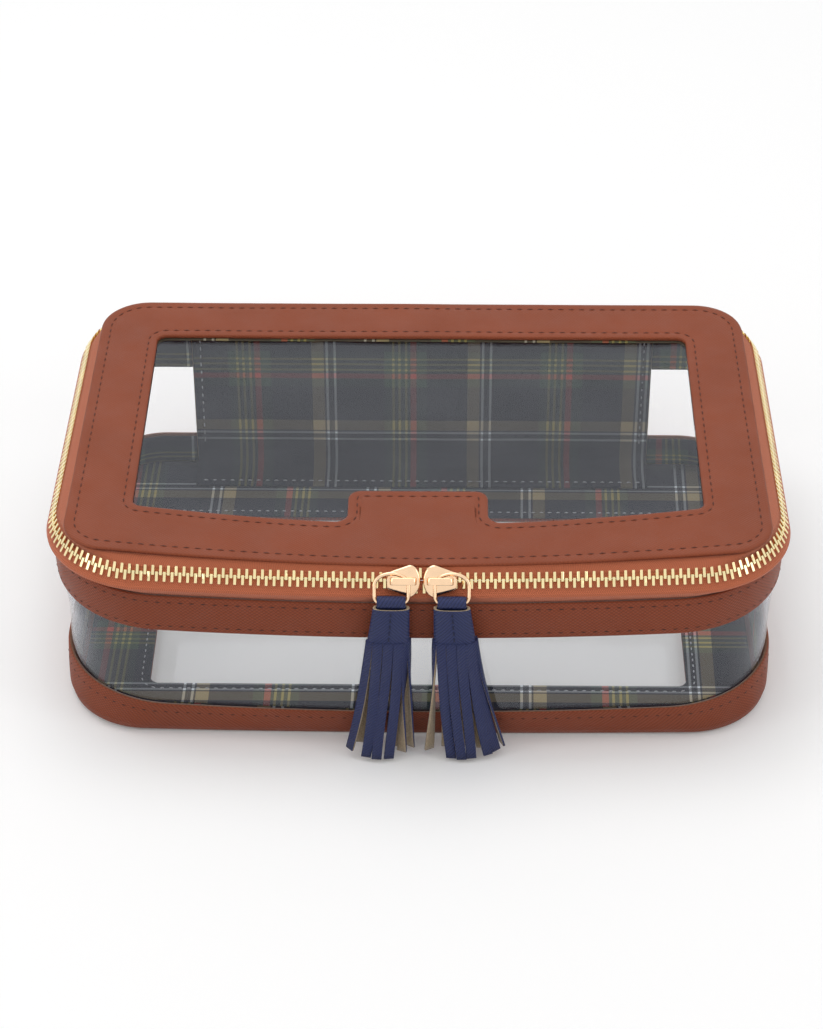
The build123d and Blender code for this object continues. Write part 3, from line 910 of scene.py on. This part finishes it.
def tapes():
    """Zipper tapes: cloth that leans in from the band to the lid, with the chain on it."""
    under = [wall_ring(z, leather_t + 0.4) for z in (band_top_z - 3, band_top_z)]
    lower = smooth_rows(under + [chain_ring(up) for up in (-5.6, -3.2, -1.4, -0.1)], 4)
    seat = lift(outline(LID, 0.6, lid_back_in, wall_open), lid_low_z - 0.1)
    upper = smooth_rows([chain_ring(0.1), chain_ring(1.4), chain_ring(2.6), seat], 4)
    for body, rows, node in (("case", lower, "zipper_tape_lower"),
                             ("lid", upper, "zipper_tape_upper")):
        thing = sheet(rows, node + "_cloth", body, "zipper_tape", [tape_cloth], node, False)
        skin = thing.modifiers.new("thickness", "SOLIDIFY")
        skin.thickness = 0.6 * MM
        skin.offset = 0.0


tapes()


def kept_nodes():
    """CAD nodes that are shown as they are, with a finish, and soft edges on the metal."""
    for name in ("zipper_teeth_lower", "zipper_teeth_upper", "zipper_end_stops",
                 "back_stiffener"):
        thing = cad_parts[name]
        thing.data.materials.clear()
        if name == "back_stiffener":
            thing.data.materials.append(stiff_board)
            continue
        thing.data.materials.append(brass)
        weld = thing.modifiers.new("weld", "WELD")
        weld.merge_threshold = 0.001 * MM
        soften = thing.modifiers.new("edges", "BEVEL")
        soften.width = 0.24 * MM
        soften.segments = 2
        soften.limit_method = "ANGLE"
        soften.angle_limit = math.radians(35)


kept_nodes()


class SliderFrame:
    """Places on a slider: away from its nose, up the slope, and out from the chain."""

    def __init__(self, node, side):
        self.axes = np.array([[-1.0 if side == "left" else 1.0, 0, 0],
                              [0, math.sin(lean), math.cos(lean)],
                              [0, -math.cos(lean), math.sin(lean)]])
        along, up = self.axes[:2]
        cast = self.corners_of("slider_" + side)
        rises = (cast - [0, 0, chain_z]) @ up
        middle_y = (rises.max() + rises.min()) / 2 / up[1]
        self.start = np.array([(cast @ along).min() * along[0], middle_y, chain_z])
        local = (self.corners_of(node) - self.start) @ self.axes.T
        self.low, self.high = local.min(0), local.max(0)

    def corners_of(self, node):
        return np.array([one.co[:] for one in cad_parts[node].data.vertices]) / MM

    def place(self, points):
        return self.start + np.array(points) @ self.axes


def slider(side):
    """Slider: crowned plates, low flanges, a post at the nose and a raised bridge."""
    node = "slider_" + side
    seat = SliderFrame(node, side)
    length, apex, half, tail = seat.high[0], 3.7, 5.35, 2.7
    plate_high, bar_high = -seat.low[2], seat.high[2]
    plate_low = plate_high - 1.4
    build = Builder()

    def half_at(a):
        if a < apex:
            return half * math.sqrt(max(1 - ((apex - a) / apex) ** 2, 1e-5))
        rounded = max(0.0, a - length + 0.5) ** 2 * 1.6
        return half + (tail - half) * (a - apex) / (length - apex) - rounded

    stations = [apex * (1 - math.cos(turn)) for turn in np.linspace(0, math.pi / 2, 12)]
    stations += list(np.linspace(apex, length - 0.5, 12)[1:])
    stations += [length - 0.25, length - 0.1, length]
    for way in (1, -1):
        rows = []
        for a in stations:
            wide = half_at(a)
            crown = 0.95 * math.sqrt(wide / half) * (1 if a < length - 0.2 else 0.8)
            loop = []
            for share in np.linspace(-1, 1, 19):
                rise = crown * math.sqrt(1 - (0.97 * share) ** 2)
                loop.append((a, wide * share, (plate_high - 0.85 + rise) * way))
            loop += [(a, wide, (plate_low + 0.15) * way), (a, wide * 0.93, plate_low * way),
                     (a, -wide * 0.93, plate_low * way), (a, -wide, (plate_low + 0.15) * way)]
            rows.append(seat.place(loop))
        rows.append(rows[-1].mean(0) + (rows[-1] - rows[-1].mean(0)) * 0.02)
        build.grid(rows, closed_u=True)
        for edge in (1, -1):
            near, far = (plate_low - 0.85) * way, (plate_low + 0.3) * way
            run = np.linspace(1.1, 7.2, 14)
            lines = [[(a, edge * (half_at(a) - depth), n) for a in run]
                     for depth, n in ((0.04, far), (0.04, near), (0.6, near), (0.6, far))]
            build.grid([seat.place(line) for line in lines], closed_v=True)
    post = [(0.35, -0.6), (2.2, -0.62), (4.4, -0.05), (4.4, 0.05), (2.2, 0.62), (0.35, 0.6)]
    build.grid([seat.place([(a, s, n) for a, s in post]) for n in (-plate_low, 0, plate_low)],
               closed_u=True)

    bar_t, bar_half, bend = 1.1, 1.25, 0.95
    low, high, near, far = plate_high - 0.2, bar_high - bar_t / 2, 1.75, 9.65
    path = np.concatenate([
        [(near, low), (near, (low + high - bend) / 2)],
        arc((near + bend, high - bend), bend, 180, 90, 8, last=True),
        between((near + bend, high), (far - bend, high), 7)[1:],
        arc((far - bend, high - bend), bend, 90, 0, 8, last=True),
        [(far, (low + high - bend) / 2), (far, low)],
    ])
    section = [(-1, -0.7), (-1, 0.6), (-0.93, 0.88), (-0.8, 1), (0, 1.06), (0.8, 1),
               (0.93, 0.88), (1, 0.6), (1, -0.7), (0.85, -1), (-0.85, -1)]
    rows = []
    for wide, thick in section:
        line = path - outward_of(path) * thick * bar_t / 2
        rows.append(seat.place(points_at(line[:, 0], wide * bar_half, line[:, 1])))
    build.grid(rows, closed_v=True)
    build.piece(node + "_cast", node, *CAST, node)


def pull_ring(side):
    """Wire ring: a low arch through the bridge, straight sides and a flat foot."""
    node = "ring_" + side
    seat = SliderFrame(node, side)
    middle, _, level = (seat.high + seat.low) / 2
    half, _, wire_r = (seat.high - seat.low) / 2
    half -= wire_r
    foot, corner_r, arch_low, arch_high = seat.low[1] + wire_r, 2.4, -1.6, 2.5
    turn = np.linspace(0, math.pi, 36)
    path = np.concatenate([
        np.stack([half * np.cos(turn), arch_low + (arch_high - arch_low) * np.sin(turn)], 1),
        arc((corner_r - half, foot + corner_r), corner_r, 180, 270, 9, last=True),
        arc((half - corner_r, foot + corner_r), corner_r, 270, 360, 9, last=True),
    ])
    rows = []
    for turn in np.linspace(0, 2 * math.pi, 14, endpoint=False):
        spot = path + outward_of(path, True) * math.cos(turn) * wire_r
        rows.append(seat.place(points_at(middle + spot[:, 0], spot[:, 1],
                                         level + math.sin(turn) * wire_r)))
    sheet(rows, node + "_wire", node, *CAST, node, closed_u=True)


for side in ("left", "right"):
    slider(side)
    pull_ring(side)


ROLL_LENGTH, SQUARENESS = 15.0, 2.8
# Half width and half depth of a tassel's roll
ROLL_TOP, ROLL_FOOT = np.array([6.15, 1.75]), np.array([7.2, 3.2])
# Strips of each tassel: offset from the middle at the cut and at the tip, reach forward,
# turn of the tip's face in degrees from the front, tip height, whether it hangs behind
STRIPS = {
    "tassel_left": [
        (-6.3, -13.5, 0.2, -48, 3.6, False), (-3.5, -7.9, 1.5, -12, 2.2, False),
        (0.0, -4.3, 1.9, -4, 1.9, False), (3.5, 0.2, 1.6, 6, 1.6, False),
        (5.9, 4.2, -0.4, 158, 2.6, False), (7.0, 7.5, -1.2, 150, 2.8, False),
        (-5.2, -10.4, 0.4, 176, 4.4, True), (-1.8, -4.6, 1.0, 180, 3.6, True),
        (1.8, 2.0, 1.4, 184, 3.4, True), (5.0, 5.6, 0.6, 172, 3.2, True),
    ],
    "tassel_right": [
        (-6.8, -8.4, -0.8, -152, 2.4, False), (-4.7, -1.2, 1.6, -5, 1.6, False),
        (-1.3, 2.4, 1.9, 2, 1.7, False), (2.2, 6.1, 1.7, 8, 2.0, False),
        (5.0, 11.6, 0.6, 24, 2.6, False), (6.4, 14.5, -0.2, 38, 3.2, False),
        (7.2, 16.6, -1.0, 118, 4.0, False), (-3.4, -2.6, 1.0, 180, 3.2, True),
        (0.6, 4.6, 1.2, 184, 3.4, True), (3.6, 9.6, 1.4, 178, 3.0, True),
        (5.8, 13.2, 0.4, 170, 4.2, True),
    ],
}


class TasselFrame:
    """Where a tassel hangs, from its CAD nodes."""

    def __init__(self, name):
        low, high = box(name + "_loop")
        self.middle, self.pivot_y, _ = (low + high) / 2
        self.strap_half, self.strap_r, _ = (high - low) / 2
        self.pivot_z = high[2] - self.strap_r
        self.roll_top = box(name + "_fringe")[1][2] + 1.5
        self.roll_y = self.pivot_y - 0.9
        self.shift = -1.1 if name == "tassel_left" else 1.1

    def roll_ring(self, share, scale=1.0, drop=0.0):
        """Ring round the roll, a share of the way down it."""
        turn = np.linspace(0, 2 * math.pi, 64, endpoint=False)
        x, y = (np.sign(wave) * np.abs(wave) ** (2 / SQUARENESS)
                for wave in (np.cos(turn), np.sin(turn)))
        wide, deep = (ROLL_TOP + (ROLL_FOOT - ROLL_TOP) * share) * scale
        return points_at(self.middle + self.shift * share + x * wide, self.roll_y + y * deep,
                         self.roll_top - ROLL_LENGTH * share - drop)


def tassel_strap(name, at):
    """Strap that goes round the ring and down into the roll."""
    strap_t, tuck_z, waist_z = 0.9, at.roll_top - 3.0, at.pivot_z - 2.4
    lap = math.degrees(0.7)
    route = np.concatenate([
        [(strap_t * 0.55, tuck_z), (strap_t * 0.62, waist_z)],
        arc((0, at.pivot_z), at.strap_r - strap_t / 2, -lap, 180 + lap, 20, last=True),
        [(-strap_t * 0.62, waist_z), (-strap_t * 0.55, tuck_z)],
    ])
    rows = []
    widths = np.linspace(-1, 1, 9)
    for face, shares in ((0.5, widths), (-0.5, widths[::-1])):
        for share in shares:
            thick = face * (0.75 if abs(share) > 0.95 else 1)
            line = route + outward_of(route) * strap_t * thick
            rows.append(points_at(at.middle + share * at.strap_half, at.pivot_y + line[:, 0],
                                  line[:, 1]))
    sheet(rows, name + "_strap", name, "navy_leather", [strip_leather, suede_back],
          name + "_loop", slots=[0] * 8 + [1] * 10)


def tassel_roll(name, at):
    """Roll of leather with a cut edge at its top and a seam down its front."""
    rows = [at.roll_ring(0, scale, drop) for scale, drop in
            ((0.02, 1.4), (0.83, 1.4), (0.84, 0.1), (0.86, 0.0), (0.98, 0.0), (1.0, 0.15))]
    rows += [at.roll_ring(share) for share in np.linspace(0.05, 1, 12)]
    rows.append(at.roll_ring(1, 0.9, 0.05))

    def roll_map(spot):
        share = (at.roll_top - spot[2]) / ROLL_LENGTH
        return (spot[0] - at.middle - at.shift * share, spot[2])

    roll = Builder()
    roll.grid(rows, closed_u=True, slots=[0, 0, 1, 1, 1] + [0] * 13, flat=roll_map)
    share = np.linspace(0.05, 0.86, 14)
    depth = ROLL_TOP[1] + 0.1 + (ROLL_FOOT[1] - ROLL_TOP[1]) * share
    seam = points_at(at.middle + at.shift * share, at.roll_y - depth,
                     at.roll_top - ROLL_LENGTH * share)
    stitches(roll, seam, (0, -1.0, -0.1), pitch=2.3, length=2.0, width=0.6, slot=2)
    roll.piece(name + "_head", name, "navy_leather", [head_leather, suede_back, navy_thread])


def tassel_strips(name, at):
    """Strips that fan out below the roll, each one turned and waved by itself."""
    fringe = Builder()
    half_w, half_t, behind_limit = 1.75, 0.42, at.pivot_y + 2.3
    low_half, low_deep = ROLL_FOOT
    start_z = at.roll_top - ROLL_LENGTH + 1.6
    profile = [(-1, 0.7), (-0.92, 1), (0, 1.0), (0.92, 1), (1, 0.7), (1, -0.8), (0.92, -1),
               (-0.92, -1), (-1, -0.8)]
    share = np.linspace(0, 1, 20)
    fan = share ** 1.25
    for top, tip, forward, turn_tip, tip_z, behind in STRIPS[name]:
        aside = min(abs(top) / low_half, 0.985)
        left_over = 1 - aside ** SQUARENESS
        depth = low_deep * left_over ** (1 / SQUARENESS)
        turn_top = math.atan2(math.copysign(aside ** (SQUARENESS - 1) / low_half, top),
                              left_over ** (1 - 1 / SQUARENESS) / low_deep)
        if behind:
            depth, turn_top = -depth * 0.55, math.pi
        else:
            depth -= half_t - 0.1 + 0.8 * aside ** 6
        # The third draw keeps the later ones in their order
        wave_x, wave_y, _ = (draw.uniform(-3, 3) for _ in range(3))
        x = at.middle + at.shift + top + (tip - top) * fan
        x += 0.3 * np.sin(share * 5 + wave_x) * share
        y = at.roll_y - depth - forward * fan + 0.25 * np.sin(share * 4 + wave_y) * share
        centre = points_at(x, np.minimum(y, behind_limit), start_z - (start_z - tip_z) * share)
        turn = turn_top + (math.radians(turn_tip) - turn_top) * share ** 1.1
        snug = 1 - 0.55 * math.sin(turn_top) ** 2 * (1 - share) ** 6
        width_way = points_at(np.cos(turn) * snug, np.sin(turn) * snug, 0)
        face_way = points_at(np.sin(turn), -np.cos(turn), 0)
        fringe.grid([centre + width_way * half_w * a + face_way * half_t * b
                     for a, b in profile], closed_v=True, slots=[0, 0, 0, 0, 1, 1, 1, 1, 0])
    fringe.piece(name + "_strips", name, "navy_leather", [strip_leather, suede_back],
                 name + "_fringe")


for name in STRIPS:
    hang = TasselFrame(name)
    tassel_strap(name, hang)
    tassel_roll(name, hang)
    tassel_strips(name, hang)


def studio():
    """Pale floor, even sky and soft lamps at a plain level."""
    half_size, white = 6.0, (1, 1, 1, 1)
    floor_glow, sky_low, sky_high = 0.09, 0.22, 0.92
    corners = [(-1, -1), (1, -1), (1, 1), (-1, 1)]
    mesh = bpy.data.meshes.new("studio_floor")
    mesh.from_pydata([(x * half_size, y * half_size, 0) for x, y in corners], [], [range(4)])
    g = Graph("studio_floor_finish")
    g.set(Base_Color=(0.93, 0.93, 0.93, 1), Roughness=0.9, Specular_IOR_Level=0.1,
          Emission_Color=white,
          Emission_Strength=g.math("MULTIPLY", g.background_rays(), floor_glow))
    mesh.materials.append(g.owner)
    put_in_scene("studio_floor", mesh)

    # The sky lights the object more from above, and shows itself as plain white
    sky = Graph("studio_sky", "worlds", "Background")
    bpy.context.scene.world = sky.owner
    direction = sky.add("ShaderNodeSeparateXYZ")
    sky.join(sky.add("ShaderNodeTexCoord").outputs["Generated"], direction.inputs[0])
    level = sky.remap(direction.outputs[2], sky_low, sky_high, 0.0, 1.0)
    sky.set(Color=white, Strength=sky.remap(sky.background_rays(), level, 1.0, 0.0, 1.0))

    def lamp(name, place, aim, width, height, power):
        light = bpy.data.lights.new(name, "AREA")
        light.shape = "RECTANGLE"
        light.size, light.size_y, light.energy = width, height, power
        thing = put_in_scene(name, light)
        thing.location = place
        thing.rotation_euler = (Vector(aim) - Vector(place)).to_track_quat("-Z", "Y").to_euler()

    lamp("lamp_top", (-0.25, 0.35, 1.5), (0, 0, 0), 1.2, 0.9, 6.5)
    lamp("lamp_left", (-1.1, -0.5, 0.7), (0, 0, 0.03), 0.35, 1.0, 1.6)
    lamp("lamp_right", (1.1, -0.5, 0.7), (0, 0, 0.03), 0.35, 1.0, 1.9)


studio()


def camera():
    """Camera at the photograph's place."""
    lens = bpy.data.cameras.new("camera")
    eye = put_in_scene("camera", lens)
    forward = Vector((-0.01235639, 0.79851366, -0.60184986)).normalized()
    right = Vector((0.99991, 0.01366, -0.00240)).normalized()
    up = right.cross(forward)
    turn = Matrix((right, up, -forward)).transposed()
    place = (0.009908, -0.825325, 0.664013)
    eye.matrix_world = Matrix.Translation(place) @ turn.to_4x4()
    lens.sensor_width = 36.0
    lens.lens = 99.37
    lens.clip_start, lens.clip_end = 0.05, 30.0
    bpy.context.scene.camera = eye


camera()
bpy.context.scene.view_settings.view_transform = "Standard"
